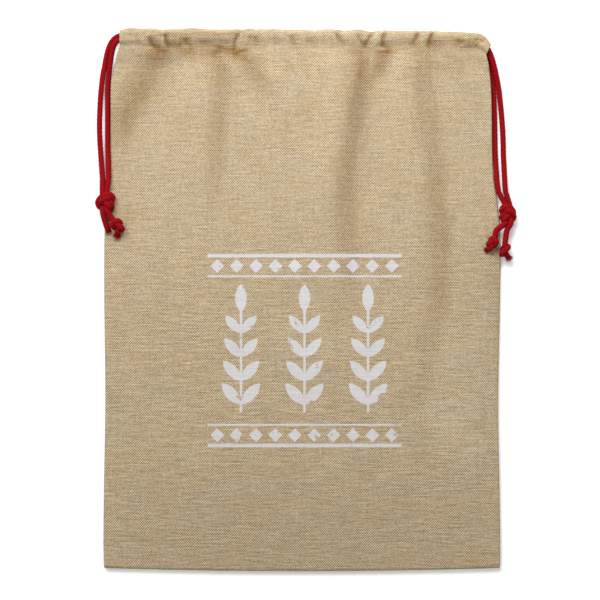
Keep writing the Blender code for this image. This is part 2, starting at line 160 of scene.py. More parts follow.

# Painted shade of the front cloth's creases and dips, as strokes. A shade below zero is painted
# light: a painted highlight on a ridge, or on an area of the cloth.
# (start x, start y, end x, end y and half width in millimetres, painted shade in hundredths)
PAINTED_SHADE_STROKES = np.array((
    (-188, 334, -78, 334.5, 6, 34), (-190, 320, -158, 319, 8, 32), (-152, 321, -110, 317, 8, 26),
    (-150, 313, -110, 311, 6, 18), (-108, 321, -74, 319, 8, 18), (-222, 334, -198, 334.5, 5, 18),
    (125, 332, 212, 329, 6, 18), (-190, 309, 215, 308, 9, 10), (56, 319, 210, 317, 6, 14),
    (-229, 324.5, -216, 321.5, 2, 26), (-211, 333, -204, 325, 2.8, 25),
    (-193, 327, -182, 316.5, 4, 48), (-185, 319, -174, 314, 4.2, 35), (-171, 333, -169, 320, 3, 35),
    (-170, 325, -156, 322, 4, 35), (-147, 326, -140, 319, 4, 40), (-146, 313, -140, 305, 5, 22),
    (-128, 325, -115, 324, 3.6, 35), (-105, 319, -87, 316, 3.6, 50),
    (-86, 315, -85.5, 312, 3.4, 48), (-81.5, 333, -87, 320, 3, 44), (-85, 313.5, -69, 316, 2.2, 40),
    (-95, 311, -84, 304, 5, 14), (-69, 331, -59, 330, 3.4, 31), (-59, 330, -58, 324, 3.4, 31),
    (-50, 320, -48, 319, 3, 25), (-36, 329, -28, 327, 3, 25), (-15, 331, -9.5, 320, 3.5, 31),
    (5, 327, 16.5, 325, 3.4, 28), (42.5, 334, 50, 325, 3.4, 37), (70.5, 332, 75, 323, 3.5, 38),
    (86.5, 335, 80, 323, 3.4, 48), (77, 322, 78, 319, 3.7, 26), (102.5, 334, 100, 325, 3.4, 48),
    (98, 322, 108, 317, 4.2, 50), (94, 314, 107, 313.5, 1.8, 26), (145, 335, 139, 325, 3.5, 37),
    (134, 324, 143, 322, 3, 25), (163, 335, 157, 320, 3.4, 48), (160, 324, 171, 321, 4, 36),
    (193, 327, 208, 325, 4.2, 32), (199, 318, 218, 321, 2.2, 35), (218, 321, 229, 329, 2.2, 35),
    (-175.5, 335, -176, 328, 1.8, -45), (-137, 330, -136, 326, 2.6, -30),
    (-77.5, 334, -80, 322, 1.6, -40), (93, 333.5, 92, 325, 2.6, -25),
    (152, 332, 150, 325, 2.6, -20), (72.2, 313, 70, 283, 3.4, 15), (70, 283, 60, 230, 5, 12),
    (-104, 314, -106.5, 260, 3.4, 9), (-83, 311, -66, 298, 3.6, 13),
    (145.5, 312, 146.5, 262, 3.4, 8), (-200, 170, 200, 170, 100, -5),
    (195, -70, 185, -170, 45, -17),
)) / (1000, 1000, 1000, 1000, 1000, 100)
# The most painted light (the lowest shade), and how strong the painted shade of the strokes is.
LIGHTEST = -0.3
CREASE_STRENGTH = 1.12

# A painted shade stroke is narrower on its lit side, the side that looks this way, and wider on the
# other.
LIT_SIDE = (-0.9, 0.4)
CREASE_SIDES = (0.6, 1.25)

# Small bumps of the mouth's edge.
# (x, half width and push along +Y in millimetres)
EDGE_BUMPS = np.array((
    (-212.8, 7.5, 1.6), (-190, 10, 1), (-177.5, 4, -1.4), (-138, 13, 1.6), (-80, 4, 1),
    (-75.5, 2, -1), (-65.5, 5.5, 1.2), (-51, 3.5, 0.8), (-35, 7, 1), (16, 3, -0.8), (35, 12, 1.2),
    (54, 4, -1), (70, 6, 1.4), (88, 6, -1.6), (104.5, 3, 0.8), (143.5, 3, 1), (153, 2.8, 1.2),
    (161.5, 2.8, 1.2), (170, 3, 1), (184, 3, 0.6),
)) / 1000

# Puckers of the front casing, where the cloth is drawn in between the cords' bulges.
# (x at the stitch line and at the mouth, lowest and highest place in hundredths of the
# casing's width, half width and depth, the rest in millimetres)
PUCKERS = np.array((
    (-228, -218, 5, 25, 1.6, 1.2), (-186, -196, 5, 55, 5, 3), (-170, -176, 10, 75, 4.2, 3),
    (-142, -150, 5, 50, 6, 2.4), (-122, -122, 15, 45, 8, 2), (-98, -96, 5, 45, 7, 3),
    (-88, -79, 0, 80, 2.6, 3), (-64, -65, 45, 70, 6, 1.6), (-48, -60, 10, 60, 3, 1.4),
    (-30, -36, 40, 70, 3, 1.2), (-8, -15, 10, 60, 2.6, 2), (11, 10, 25, 55, 6, 1.8),
    (53, 41, 30, 80, 2.4, 2.2), (77, 69, 10, 75, 2.6, 2.8), (77, 90, 15, 80, 2.6, 2.8),
    (100, 104, 5, 80, 3.2, 3), (106, 108, 0, 40, 6, 2.4), (137, 148, 20, 85, 3, 2.6),
    (156, 165, 10, 85, 2.6, 2.8), (166, 170, 10, 45, 7, 2), (202, 198, 20, 50, 8, 2.2),
    (213, 224, 20, 70, 4, 2.2),
)) / (1000, 1000, 100, 100, 1000, 1000)

# --- The cords' routes, the same as the solid model's ---

LEFT_INNER_ROUTE = (
    (-0.2064, 0.3276, FRONT_CASING_Z), (-0.219, 0.3279, 0.0206), (-0.2295, 0.3278, 0.02),
    (-0.2337, 0.3252, 0.0192), (-0.2368, 0.3206, 0.0172), (-0.2389, 0.3145, 0.0146),
    (-0.2406, 0.3075, 0.0118), (-0.242, 0.299, 0.0092), (-0.2434, 0.2895, 0.0066),
    (-0.2448, 0.279, 0.0046), (-0.2457, 0.265, 0.0036), (-0.2457, 0.248, LYING),
    (-0.2457, 0.228, LYING), (-0.2457, 0.205, LYING), (-0.2455, 0.19, 0.0042),
    (-0.2446, 0.174, 0.0076), (-0.244, 0.157, 0.0104), (-0.2436, 0.145, 0.0116),
    (-0.244, 0.1372, 0.0124),
)
LEFT_OUTER_ROUTE = (
    (-0.2064, 0.3354, BACK_CASING_Z), (-0.219, 0.3356, BACK_CASING_Z), (-0.23, 0.335, 0.0051),
    (-0.235, 0.333, 0.0048), (-0.2395, 0.3288, 0.0044), (-0.243, 0.3228, 0.004),
    (-0.2458, 0.315, 0.0037), (-0.2478, 0.306, 0.0035), (-0.2496, 0.296, LYING),
    (-0.2516, 0.286, LYING), (-0.2532, 0.273, LYING), (-0.2546, 0.258, LYING),
    (-0.2556, 0.24, LYING), (-0.2561, 0.222, LYING), (-0.2556, 0.204, LYING),
    (-0.2546, 0.188, 0.0036), (-0.2536, 0.175, 0.005), (-0.2524, 0.162, 0.0074),
    (-0.2512, 0.15, 0.0098), (-0.251, 0.142, 0.0112), (-0.2511, 0.1368, 0.0122),
)
RIGHT_OUTER_ROUTE = (
    (0.1934, 0.3324, FRONT_CASING_Z), (0.207, 0.3322, FRONT_CASING_Z), (0.2165, 0.3316, 0.0207),
    (0.2215, 0.33, 0.0205), (0.2265, 0.3268, 0.02), (0.2308, 0.3222, 0.0192),
    (0.2344, 0.3166, 0.018), (0.2376, 0.31, 0.0164), (0.2404, 0.3025, 0.0144),
    (0.2429, 0.294, 0.0118), (0.245, 0.2855, 0.0092), (0.2472, 0.276, 0.0066),
    (0.2493, 0.2645, 0.0044), (0.251, 0.25, 0.0035), (0.2526, 0.234, LYING),
    (0.2538, 0.217, LYING), (0.2546, 0.2, LYING), (0.2549, 0.184, LYING),
    (0.2557, 0.168, 0.004), (0.2564, 0.152, 0.006), (0.2572, 0.138, 0.008),
    (0.2584, 0.127, 0.0091), (0.2592, 0.1205, 0.0093),
)
RIGHT_INNER_ROUTE = (
    (0.1934, 0.3246, BACK_CASING_Z), (0.207, 0.3248, 0.0053), (0.2165, 0.3248, 0.0053),
    (0.222, 0.3233, 0.0052), (0.2266, 0.3198, 0.0049), (0.2302, 0.3148, 0.0046),
    (0.2332, 0.309, 0.0042), (0.2356, 0.3025, 0.0039), (0.2378, 0.2945, 0.0036),
    (0.2396, 0.285, LYING), (0.241, 0.275, LYING), (0.2424, 0.262, LYING),
    (0.2432, 0.246, LYING), (0.2437, 0.229, LYING), (0.244, 0.211, LYING),
    (0.2443, 0.194, LYING), (0.2449, 0.178, 0.0038), (0.2457, 0.164, 0.0054),
    (0.2465, 0.15, 0.008), (0.2483, 0.138, 0.009), (0.2505, 0.127, 0.0093),
    (0.2519, 0.1195, 0.0093),
)


# --- Small tools ---

def lerp(a, b, t):
    return a + (b - a) * t


def ease(t):
    return 0.5 - 0.5 * np.cos(pi * np.clip(t, 0.0, 1.0))


def bell(offset, width):
    return np.exp(-(offset / width) ** 2)


def read_rows(rows, key, column=1):
    """Values of a column at each key, on a smooth curve through the table's rows."""
    table = np.array(rows, float)
    keys, values = table[:, 0], table[:, column]
    key = np.clip(key, keys[0], keys[-1])
    a = np.clip(np.searchsorted(keys, key) - 1, 0, len(keys) - 2)
    b = a + 1
    before = np.maximum(a - 1, 0)
    after = np.minimum(b + 1, len(keys) - 1)
    step = keys[b] - keys[a]
    slope_a = (values[b] - values[before]) / (keys[b] - keys[before]) * step
    slope_b = (values[after] - values[a]) / (keys[after] - keys[a]) * step
    t = (key - keys[a]) / step
    return (
        (2 * t**3 - 3 * t**2 + 1) * values[a]
        + (t**3 - 2 * t**2 + t) * slope_a
        + (3 * t**2 - 2 * t**3) * values[b]
        + (t**3 - t**2) * slope_b
    )


def lengths(vectors):
    return np.linalg.norm(vectors, axis=-1)


def unit(vectors):
    return vectors / lengths(vectors)[..., None]


def smooth_route(points, spacing):
    """Points at even distances on a smooth curve through the given ones."""
    points = np.array(points, float)
    along = np.concatenate([[0.0], np.cumsum(lengths(np.diff(points, axis=0)))])
    at = np.linspace(0.0, along[-1], max(2, round(along[-1] / spacing)) + 1)
    return np.stack([read_rows(np.stack([along, points[:, k]], 1), at) for k in range(3)], 1)


def place(name, data):
    obj = bpy.data.objects.new(name, data)
    bpy.context.scene.collection.objects.link(obj)
    return obj


def add_object(name, mesh, material):
    mesh.materials.append(material)
    mesh.shade_smooth()
    return place(name, mesh)


def grid_faces(index):
    """The faces between the rows and columns of a grid of points."""
    return np.stack([index[:-1, :-1], index[:-1, 1:], index[1:, 1:], index[1:, :-1]], -1)


def tube_faces(index):
    """The faces between rings of points."""
    return grid_faces(np.concatenate([index, index[:, :1]], 1)).reshape(-1, 4).tolist()


def make_mesh(name, points, faces, attribute, values):
    """A mesh with one vector attribute at its points."""
    mesh = bpy.data.meshes.new(name)
    mesh.from_pydata(np.asarray(points).reshape(-1, 3).tolist(), [], faces)
    data = mesh.attributes.new(attribute, "FLOAT_VECTOR", "POINT").data
    data.foreach_set("vector", np.asarray(values, np.float32).ravel())
    return mesh


# --- Camera, light and floor ---

def add_camera():
    camera = bpy.data.cameras.new("camera")
    camera.lens = camera.sensor_width * (CAMERA_HEIGHT - CLOTH_LEVEL) / (FRAME_PIXELS * PIXEL)
    obj = place("camera", camera)
    half = FRAME_PIXELS / 2
    obj.location = ((half - MIDDLE_PIXEL[0]) * PIXEL, (MIDDLE_PIXEL[1] - half) * PIXEL, CAMERA_HEIGHT)
    bpy.context.scene.camera = obj


WORLD_STRENGTH = 0.53
FLOOR_SHADE = (0.94, 0.94, 0.94, 1.0)
FLOOR_GLOW = 0.16
FLOOR_HALF = 4.0
FLOOR_BELOW = 0.0003

# (name, place, aimed at, size, power)
LIGHTS = (
    ("key", (-1.6, 2.4, 2.9), (0.0, 0.0, 0.0), 1.9, 115.0),
    ("top", (0.1, 0.85, 0.85), (0.0, 0.8, 0.0), 0.5, 10.0),
)


def add_surroundings():
    scene = bpy.context.scene
    scene.view_settings.view_transform = "Standard"
    world = bpy.data.worlds.new("studio")
    scene.world = world
    world.use_nodes = True
    background = world.node_tree.nodes["Background"]
    background.inputs["Color"].default_value = WHITE
    background.inputs["Strength"].default_value = WORLD_STRENGTH
    for name, location, target, size, power in LIGHTS:
        light = bpy.data.lights.new(name, "AREA")
        light.shape = "DISK"
        light.size = size
        light.energy = power
        lamp = place(name, light)
        lamp.location = location
        aim = Vector(target) - Vector(location)
        lamp.rotation_euler = aim.to_track_quat("-Z", "Y").to_euler()

    mesh = bpy.data.meshes.new("floor")
    corners = [(x * FLOOR_HALF, y * FLOOR_HALF, 0.0) for x, y in ((-1, -1), (1, -1), (1, 1), (-1, 1))]
    mesh.from_pydata(corners, [], [range(4)])
    material = Graph("floor").shade({
        "Base Color": FLOOR_SHADE, "Roughness": 0.9,
        "Emission Color": WHITE, "Emission Strength": FLOOR_GLOW,
    })
    floor = add_object("floor", mesh, material)
    floor.location.z = -FLOOR_BELOW


# --- Materials ---

def node_math(operation):
    """A method that puts its values through a math node."""
    return lambda *values: values[0].graph.math(operation, *values)


class Value:
    """What a node gives out, so that sums of nodes can be written as plain sums."""

    __add__ = node_math("ADD")
    __sub__ = node_math("SUBTRACT")
    __mul__ = node_math("MULTIPLY")
    __truediv__ = node_math("DIVIDE")
    __abs__ = node_math("ABSOLUTE")

    def __init__(self, graph, socket):
        self.graph = graph
        self.socket = socket


class Graph:
    """Shorthand for building a material's nodes."""

    def __init__(self, name):
        self.material = bpy.data.materials.new(name)
        self.material.use_nodes = True
        self.tree = self.material.node_tree

    def put(self, socket, value):
        if isinstance(value, Value):
            self.tree.links.new(value.socket, socket)
        else:
            socket.default_value = value

    def shade(self, inputs):
        """The finished material, with some of its shader's inputs by name."""
        for name, value in inputs.items():
            self.put(self.tree.nodes["Principled BSDF"].inputs[name], value)
        return self.material

    def node(self, kind, inputs, output=0, **settings):
        """A node with some of its inputs, by place or by name, and its output."""
        node = self.tree.nodes.new(kind)
        for key, value in settings.items():
            setattr(node, key, value)
        for key, value in inputs.items():
            self.put(node.inputs[key], value)
        return Value(self, node.outputs[output])

    def math(self, operation, *values):
        return self.node("ShaderNodeMath", dict(enumerate(values)), operation=operation)

    def vector(self, x=0.0, y=0.0, z=0.0):
        return self.node("ShaderNodeCombineXYZ", {0: x, 1: y, 2: z})

    def attribute(self, name):
        vector = self.node("ShaderNodeAttribute", {}, "Vector", attribute_name=name)
        return [self.node("ShaderNodeSeparateXYZ", {0: vector}, axis) for axis in range(3)]

    def noise(self, vector, scale=1.0, detail=1.0, roughness=0.5):
        inputs = {"Vector": vector, "Scale": scale, "Detail": detail, "Roughness": roughness}
        return self.node("ShaderNodeTexNoise", inputs, "Fac")

    def mix(self, factor, a, b):
        return self.node("ShaderNodeMix", {0: factor, 2: a, 3: b})

    def mix_color(self, factor, a, b, blend="MIX", clamp=True):
        inputs = {0: factor, 6: a, 7: b}
        kinds = {"data_type": "RGBA", "blend_type": blend, "clamp_factor": clamp}
        return self.node("ShaderNodeMix", inputs, 2, **kinds)

    def multiply_color(self, a, b):
        return self.mix_color(1.0, a, b, "MULTIPLY")

    def step(self, value, low, high, start=0.0, end=1.0):
        """A smooth step from start to end as value goes from low to high."""
        inputs = dict(enumerate((value, low, high, start, end)))
        return self.node("ShaderNodeMapRange", inputs, interpolation_type="SMOOTHSTEP")

    def bump(self, height, distance, strength=1.0):
        inputs = {"Height": height, "Distance": distance, "Strength": strength}
        return self.node("ShaderNodeBump", inputs, "Normal")


WHITE = (1.0, 1.0, 1.0, 1.0)

WARP_PITCH = 0.0015
WEFT_PITCH = 0.00165
THREAD_SWAY = 1.4
SWAY_SCALE = 16.0
THIN_THREAD = 3.9
THICK_THREAD = 2.4

BURLAP_LIGHT = (0.625, 0.52, 0.363, 1.0)
BURLAP_DARK = (0.14, 0.087, 0.032, 1.0)
# The tint of the painted shade of folds, creases and dips.
PAINTED_SHADE_TINT = (0.48, 0.34, 0.18, 1.0)
WARM_TINT = (1.015, 0.987, 0.92, 1.0)
COOL_TINT = (0.995, 1.002, 1.015, 1.0)
INK = (0.57, 0.565, 0.58, 1.0)

# The checks between the threads, in both slanted directions, and how they fade in places.
FALLING_TONE = 0.31
RISING_TONE = 0.14
FADING_SCALE = 34.0
FADING = (0.3, 0.62, 0.55, 1.0)

# The weave's contrast grows below WORN_FROM and is full at WORN_TO (heights on the sack).
WORN_FROM = 0.16
WORN_TO = -0.1
WORN_CHECK = (1.0, 1.2)
WEFT_TONE = (0.44, 0.61)
WARP_TONE = 0.16
CROSSING_TONE = 0.24

# A thread's tone is its own line through a noise, less a share of the next thread's.
NEXT_SHARE = 0.6
LINE_STEP = 5.3
WARP_CHANGE = 30.0
WEFT_CHANGE = 44.0
WARP_LEVEL = 3.7
WEFT_LEVEL = 9.1


def plain_weave(g, u, v):
    """Height of a plain weave's threads from 0 to 1, and the tone of the cloth."""
    cloth = g.vector(u, v)
    sway = (g.noise(cloth, SWAY_SCALE) - 0.5) * THREAD_SWAY
    a = u / WARP_PITCH + sway
    b = v / WEFT_PITCH + sway
    warp = g.math("FLOOR", a)
    weft = g.math("FLOOR", b)
    from_warp = g.math("FRACT", a) - 0.5
    from_weft = g.math("FRACT", b) - 0.5
    warp_on_top = g.math("FLOORED_MODULO", warp + weft, 2.0)

    along_weft = u * WEFT_CHANGE
    warp_tone = g.noise(g.vector(warp * LINE_STEP, v * WARP_CHANGE, WARP_LEVEL))
    weft_tone = g.noise(g.vector(along_weft, weft * LINE_STEP, WEFT_LEVEL))
    next_tone = g.noise(g.vector(along_weft, weft * LINE_STEP + LINE_STEP, WEFT_LEVEL))
    crossing = g.node("ShaderNodeTexWhiteNoise", {"Vector": g.vector(warp, weft)}, "Value")

    across = g.mix(warp_on_top, from_weft, from_warp) * g.mix(weft_tone, THIN_THREAD, THICK_THREAD)
    along = g.mix(warp_on_top, from_warp, from_weft) * pi
    ridge = g.math("MAXIMUM", g.math("COSINE", across), 0.0)
    height = ridge * (g.math("COSINE", along) * 0.5 + 0.5)

    falling = g.math("COSINE", (a - b) * pi) * FALLING_TONE
    rising = g.math("COSINE", (a + b) * pi) * RISING_TONE
    check = (falling + rising) * g.step(v, WORN_FROM, WORN_TO, *WORN_CHECK)
    check = check * g.step(g.noise(cloth, FADING_SCALE, 2.0), *FADING)
    weft_share = g.step(v, WORN_FROM, WORN_TO, *WEFT_TONE)
    uneven = (weft_tone - 0.5 - (next_tone - 0.5) * NEXT_SHARE) * weft_share
    uneven = uneven + (warp_tone - 0.5) * WARP_TONE + (crossing - 0.5) * CROSSING_TONE
    return height, check + uneven + 0.5


PATCH_SCALE = 9.0
PATCH_DEPTH = 0.08
# Painted shade between the threads: a thread's colour runs from LOWEST_SHADE where it dips, higher by
# THREAD_SHADE at its top.
THREAD_SHADE = 0.24
LOWEST_SHADE = 0.9
WARMTH_SCALE = 20.0
WARMTH_STRETCH = 1.6
WARMTH_STEP = (0.3, 0.7)
THREAD_RELIEF = 0.00025
INK_STEP = (0.02, 0.3)


def make_burlap(name, is_printed):
    g = Graph(name)
    # The place on the cloth, and the painted shade of its folds, creases and dips.
    u, v, painted_shade = g.attribute("cloth_place_and_shade")
    height, tone = plain_weave(g, u, v)
    patches = g.noise(g.vector(u, v), PATCH_SCALE, 2.0)
    # Painted shade between the threads, times random patches of tone.
    shade = (height * THREAD_SHADE + LOWEST_SHADE) * (patches * PATCH_DEPTH + (1.0 - PATCH_DEPTH / 2))
    thread_shade_and_patches = g.node("ShaderNodeCombineColor", {0: shade, 1: shade, 2: shade})
    color = g.multiply_color(g.mix_color(tone, BURLAP_DARK, BURLAP_LIGHT), thread_shade_and_patches)
    warmth = g.step(g.noise(g.vector(u, v * WARMTH_STRETCH), WARMTH_SCALE, 3.0), *WARMTH_STEP)
    color = g.multiply_color(color, g.mix_color(warmth, COOL_TINT, WARM_TINT))
    # Painted shade darkens the colour towards its tint, and a shade below zero is painted light.
    color = g.multiply_color(color, g.mix_color(painted_shade, WHITE, PAINTED_SHADE_TINT, clamp=False))
    if is_printed:
        ink = print_mask(g, u, v) * g.step(height, *INK_STEP)
        color = g.mix_color(ink, color, INK)
    relief = g.bump(height, THREAD_RELIEF)
    return g.shade(
        {"Base Color": color, "Normal": relief, "Roughness": 0.95, "Specular IOR Level": 0.15}
    )


# --- The print ---

PRINT_MIDDLE = (0.0033, -0.063)
PRINT_HALF = 0.122

# (middle of the height, half height)
STEM = (-0.012, 0.066)
OUTER_LINE = (0.1195, 0.0022)
INNER_LINE = (0.0935, 0.0012)

STEM_HALF_WIDTH = 0.0016
SPRIG_SPACING = 0.08
LEAF_LENGTH = 0.036
LEAF_BULGE = 0.4
LEAF_TURN = 42.0
LEAF_STEP = 0.03
LEAF_PAIRS = 4
LEAF_SHRINK = 0.06
LOWEST_LEAF = -0.068
TOP_LEAF = 0.048
DIAMONDS = 10
DIAMOND_HALF = 0.0088
DIAMOND_LEVEL = 0.1065
RAGGED_SCALE = 420.0
RAGGED = 0.0012
INK_EDGE = 0.0004
WEAR_SCALE = 38.0
WEAR_STEP = (0.36, 0.4)


def leaf(g, x, y, foot_y, turn, length):
    """Distance outside a leaf whose foot is at (0, foot_y), turned from upright."""
    angle = radians(turn)
    below = y - foot_y
    side = x * cos(angle) - below * sin(angle)
    up = x * sin(angle) + below * cos(angle) - length / 2
    half_width = length * LEAF_BULGE / 2
    radius = (length**2 / 4 + half_width**2) / (2 * half_width)
    side = abs(side) + (radius - half_width)
    return g.math("SQRT", side * side + up * up) - radius


def bar(g, x, y, half_x, middle_y, half_y):
    """Distance outside an upright rectangle."""
    return g.math("MAXIMUM", abs(x) - half_x, abs(y - middle_y) - half_y)


def print_mask(g, u, v):
    """Ink of the print: three leafy sprigs between two bands of diamonds."""
    x = u - PRINT_MIDDLE[0]
    y = v - PRINT_MIDDLE[1]

    column = g.math("ROUND", x / SPRIG_SPACING)
    column = g.math("MAXIMUM", g.math("MINIMUM", column, 1.0), -1.0)
    side = abs(x - column * SPRIG_SPACING)
    shapes = [bar(g, side, y, STEM_HALF_WIDTH, *STEM)]
    for n in range(LEAF_PAIRS):
        length = LEAF_LENGTH * (1 - LEAF_SHRINK * n)
        shapes.append(leaf(g, side, y, LOWEST_LEAF + n * LEAF_STEP, LEAF_TURN, length))
    shapes.append(leaf(g, side, y, TOP_LEAF, 0.0, LEAF_LENGTH))

    height = abs(y)
    shapes += [bar(g, x, height, PRINT_HALF, *line) for line in (OUTER_LINE, INNER_LINE)]
    half_cell = PRINT_HALF / DIAMONDS
    in_cell = g.math("PINGPONG", x + PRINT_HALF, half_cell) - half_cell
    diamond = abs(in_cell) + abs(height - DIAMOND_LEVEL) - DIAMOND_HALF
    shapes.append(g.math("MAXIMUM", diamond, abs(x) - PRINT_HALF))
    shape = reduce(partial(g.math, "MINIMUM"), shapes)

    cloth = g.vector(u, v)
    ragged = (g.noise(cloth, RAGGED_SCALE) - 0.5) * RAGGED
    inside = g.step(shape + ragged, INK_EDGE, -INK_EDGE)
    worn = g.step(g.noise(cloth, WEAR_SCALE, 6.0, 0.7), *WEAR_STEP)
    return inside * worn


THREAD_COLOR = (0.36, 0.28, 0.17, 1.0)
CORD_RED = (0.255, 0.0035, 0.0065, 1.0)
CORD_DARK = (0.1, 0.0015, 0.003, 1.0)
YARNS_AROUND = 8
BRAID_LENGTH = 0.0052
STRANDS_AROUND = 40.0
STRANDS_ALONG = 260.0
STRAND_SHARE = 0.5
YARN_SHARE = 0.6
TONE_STEP = (0.05, 0.75)
STRAND_RELIEF = (0.0003, 0.6)


def make_cord_material():
    g = Graph("red_braid")
    turn, along, relief = g.attribute("cord_at")
    strands = g.noise(g.vector(turn * STRANDS_AROUND, along * STRANDS_ALONG), detail=2.0)
    # Painted shade in the grooves between the braid's yarns (relief), with a random tone of its
    # strands.
    tone = g.step(strands * STRAND_SHARE + relief * YARN_SHARE, *TONE_STEP)
    return g.shade({
        "Base Color": g.mix_color(tone, CORD_DARK, CORD_RED),
        "Normal": g.bump(strands, *STRAND_RELIEF), "Roughness": 0.9, "Specular IOR Level": 0.06,
    })


# --- The cloth ---

def edge_x(y, is_front):
    up = y - BOTTOM_Y
    left = -SACK_WIDTH / 2 + read_rows(SIDE_INSETS, up, 1)
    right = SACK_WIDTH / 2 - read_rows(SIDE_INSETS, up, 2 if is_front else 3)
    return left, right


def stitch_point(across, is_front):
    y = read_rows(STITCH_LINE, across, 1 if is_front else 2)
    left, right = edge_x(y, is_front)
    x = lerp(left, right, across)
    if is_front:
        y = y - read_rows(STITCH_SAG, x)
    return x, y


# The middle and half width of a fold's painted shade, as fractions of its steep side.
SHADE_MIDDLE = 0.55
SHADE_HALF = 0.95


def folds(x, y):
    """How far the folds lift the front panel, and their painted shade on it from 0 to about 1."""
    rise, shade = 0.0, 0.0
    for crest, height, soft, steep, dark in FOLDS:
        crest_x, crest_y = np.array(crest).T / 1000
        down = (crest_y[0] - y) / (crest_y[0] - crest_y[-1])
        crest_x = read_rows(np.stack([-crest_y, crest_x], 1), -y)
        side = (x - crest_x) * copysign(1000, steep)
        fade = ease((1.0 - down) / FOLD_FADE) * ease((down + FOLD_LEAD) / FOLD_LEAD)
        rise = rise + height / 1000 * fade * bell(side, np.where(side < 0, soft, abs(steep)))
        shade = shade + dark * fade * bell(side / abs(steep) - SHADE_MIDDLE, SHADE_HALF)
    return rise, shade


def crease_shade(places):
    """The painted shade of the strokes on the front panel, from LIGHTEST (painted light) to about 1.
    """
    shade = 0.0
    for *ends, width, dark in PAINTED_SHADE_STROKES:
        start, end = np.reshape(ends, (2, 2))
        run = end - start
        along = np.clip((places - start) @ run / (run @ run), 0.0, 1.0)
        off = places - start - along[..., None] * run
        side = np.where(off @ LIT_SIDE > 0, *CREASE_SIDES)
        shade = shade + dark * bell(lengths(off), width * side)
    return shade * CREASE_STRENGTH


WRINKLE_SEED = 7
WRINKLE_WAVES = 26
WRINKLE_LENGTHS = (0.025, 0.12)
MIDDLE_LENGTH = 0.07
WRINKLE_TURN = 1.2
WRINKLE_HEIGHT = 0.00044


def wrinkles(x, y):
    """A faint unevenness of the whole cloth, from many long and short waves."""
    random = np.random.default_rng(WRINKLE_SEED)
    rise = 0.0
    for _ in range(WRINKLE_WAVES):
        length = random.uniform(*WRINKLE_LENGTHS)
        angle = random.uniform(-WRINKLE_TURN, WRINKLE_TURN)
        phase = random.uniform(0.0, 2 * pi)
        wave = (x * cos(angle) + y * sin(angle)) * 2 * pi / length
        rise = rise + np.sin(wave + phase) * length / MIDDLE_LENGTH
    return rise * WRINKLE_HEIGHT / sqrt(WRINKLE_WAVES)


SEAM_ROUND = 0.0016


def seam_bead(from_side, from_bottom, below):
    """The rounded edge of the cloth where it turns into a seam."""
    inward = 1.0 - np.clip(np.minimum(from_side, from_bottom) / SEAM_ROUND, 0.0, 1.0)
    return SEAM_ROUND * np.sqrt(1.0 - inward**2) * ease(below / SLIT)


def edge_height(below, at_stitch, pinch):
    """Height of a panel's side edge, past the slit where the cords come out."""
    slit = lerp(at_stitch, SEAM_HEIGHT[0][1], ease(below / SLIT))
    seam = np.where(below < SLIT, slit, read_rows(SEAM_HEIGHT, below))
    return seam + pinch * np.minimum(1.0, below / SLIT)


def front_height(x, y, below, from_side, from_bottom):
    edge = edge_height(below, FRONT_CASING_Z + PINCH, PINCH)
    middle = read_rows(FRONT_HEIGHT, below)
    insets = (from_side, from_bottom)
    side, bottom = [np.sin(pi / 2 * np.minimum(1.0, inset / FRONT_SLOPE)) for inset in insets]
    calm = ease(from_side / CALM_SIDE) * ease(from_bottom / CALM_BOTTOM) * ease(below / CALM_TOP)
    rise = (folds(x, y)[0] + wrinkles(x, y)) * calm
    bead = seam_bead(from_side, from_bottom, below)
    return edge + (middle - edge) * side * bottom + rise + bead


def back_height(x, y, below, from_side, from_bottom):
    at_stitch = BACK_CASING_Z - PINCH
    edge = edge_height(below, at_stitch, -PINCH)
    middle = lerp(at_stitch, CLOTH / 2, ease(below / BACK_RISE))
    side = np.maximum(0.0, 1.0 - from_side / BACK_CURL) ** 2
    bottom = np.maximum(0.0, 1.0 - from_bottom / BACK_CURL) ** 2
    curl = 1.0 - (1.0 - side) * (1.0 - bottom)
    height = lerp(middle, edge, curl) - seam_bead(from_side, from_bottom, below)
    return np.maximum(height, CLOTH / 2)


def body_points(is_front, across, up):
    """Points of a panel from its bottom seam (up = 0) to its stitch line (up = 1)."""
    stitch_y = stitch_point(across, is_front)[1]
    low = BOTTOM_Y + BOTTOM_SAG * (2 * across - 1) ** 2
    y = lerp(low, stitch_y, up)
    left, right = edge_x(y, is_front)
    x = lerp(left, right, across)
    from_side = np.minimum(x - left, right - x)
    height = front_height if is_front else back_height
    return np.stack([x, y, height(x, y, stitch_y - y, from_side, y - low)], -1)


HEM_SHARE = HEM_TURN / CASING_WIDTH
NOSE_START = 0.716
RAMP_END = 0.36


def casing_section(count_outer, count_nose, count_inner):
    """The casing's section as rows of (out, share of the full height, is outer)."""
    rows = [(out, None, True) for out in np.linspace(0.0, NOSE_START, count_outer + 1)[1:]]
    for turn in np.linspace(0.0, pi, count_nose + 1)[1:]:
        out = NOSE_START + (1.0 - NOSE_START) * sin(turn)
        rows.append((out, abs(cos(turn)), turn <= pi / 2))
    inner = np.linspace(NOSE_START, 0.0, count_inner + 1)[1:]
    return rows + [(out, None, False) for out in (*inner, -HEM_SHARE / 2, -HEM_SHARE)]


PUCKER_FADE = 0.2


def pucker_depth(x, out):
    """How far the casing's outer layer is drawn in."""
    depth = 0.0
    for x_low, x_high, low, high, width, deep in PUCKERS:
        middle = lerp(x_low, x_high, out)
        ends = ease((out - low) / PUCKER_FADE + 0.5) * ease((high - out) / PUCKER_FADE + 0.5)
        depth = depth + deep * ends * bell(x - middle, width)
    return depth


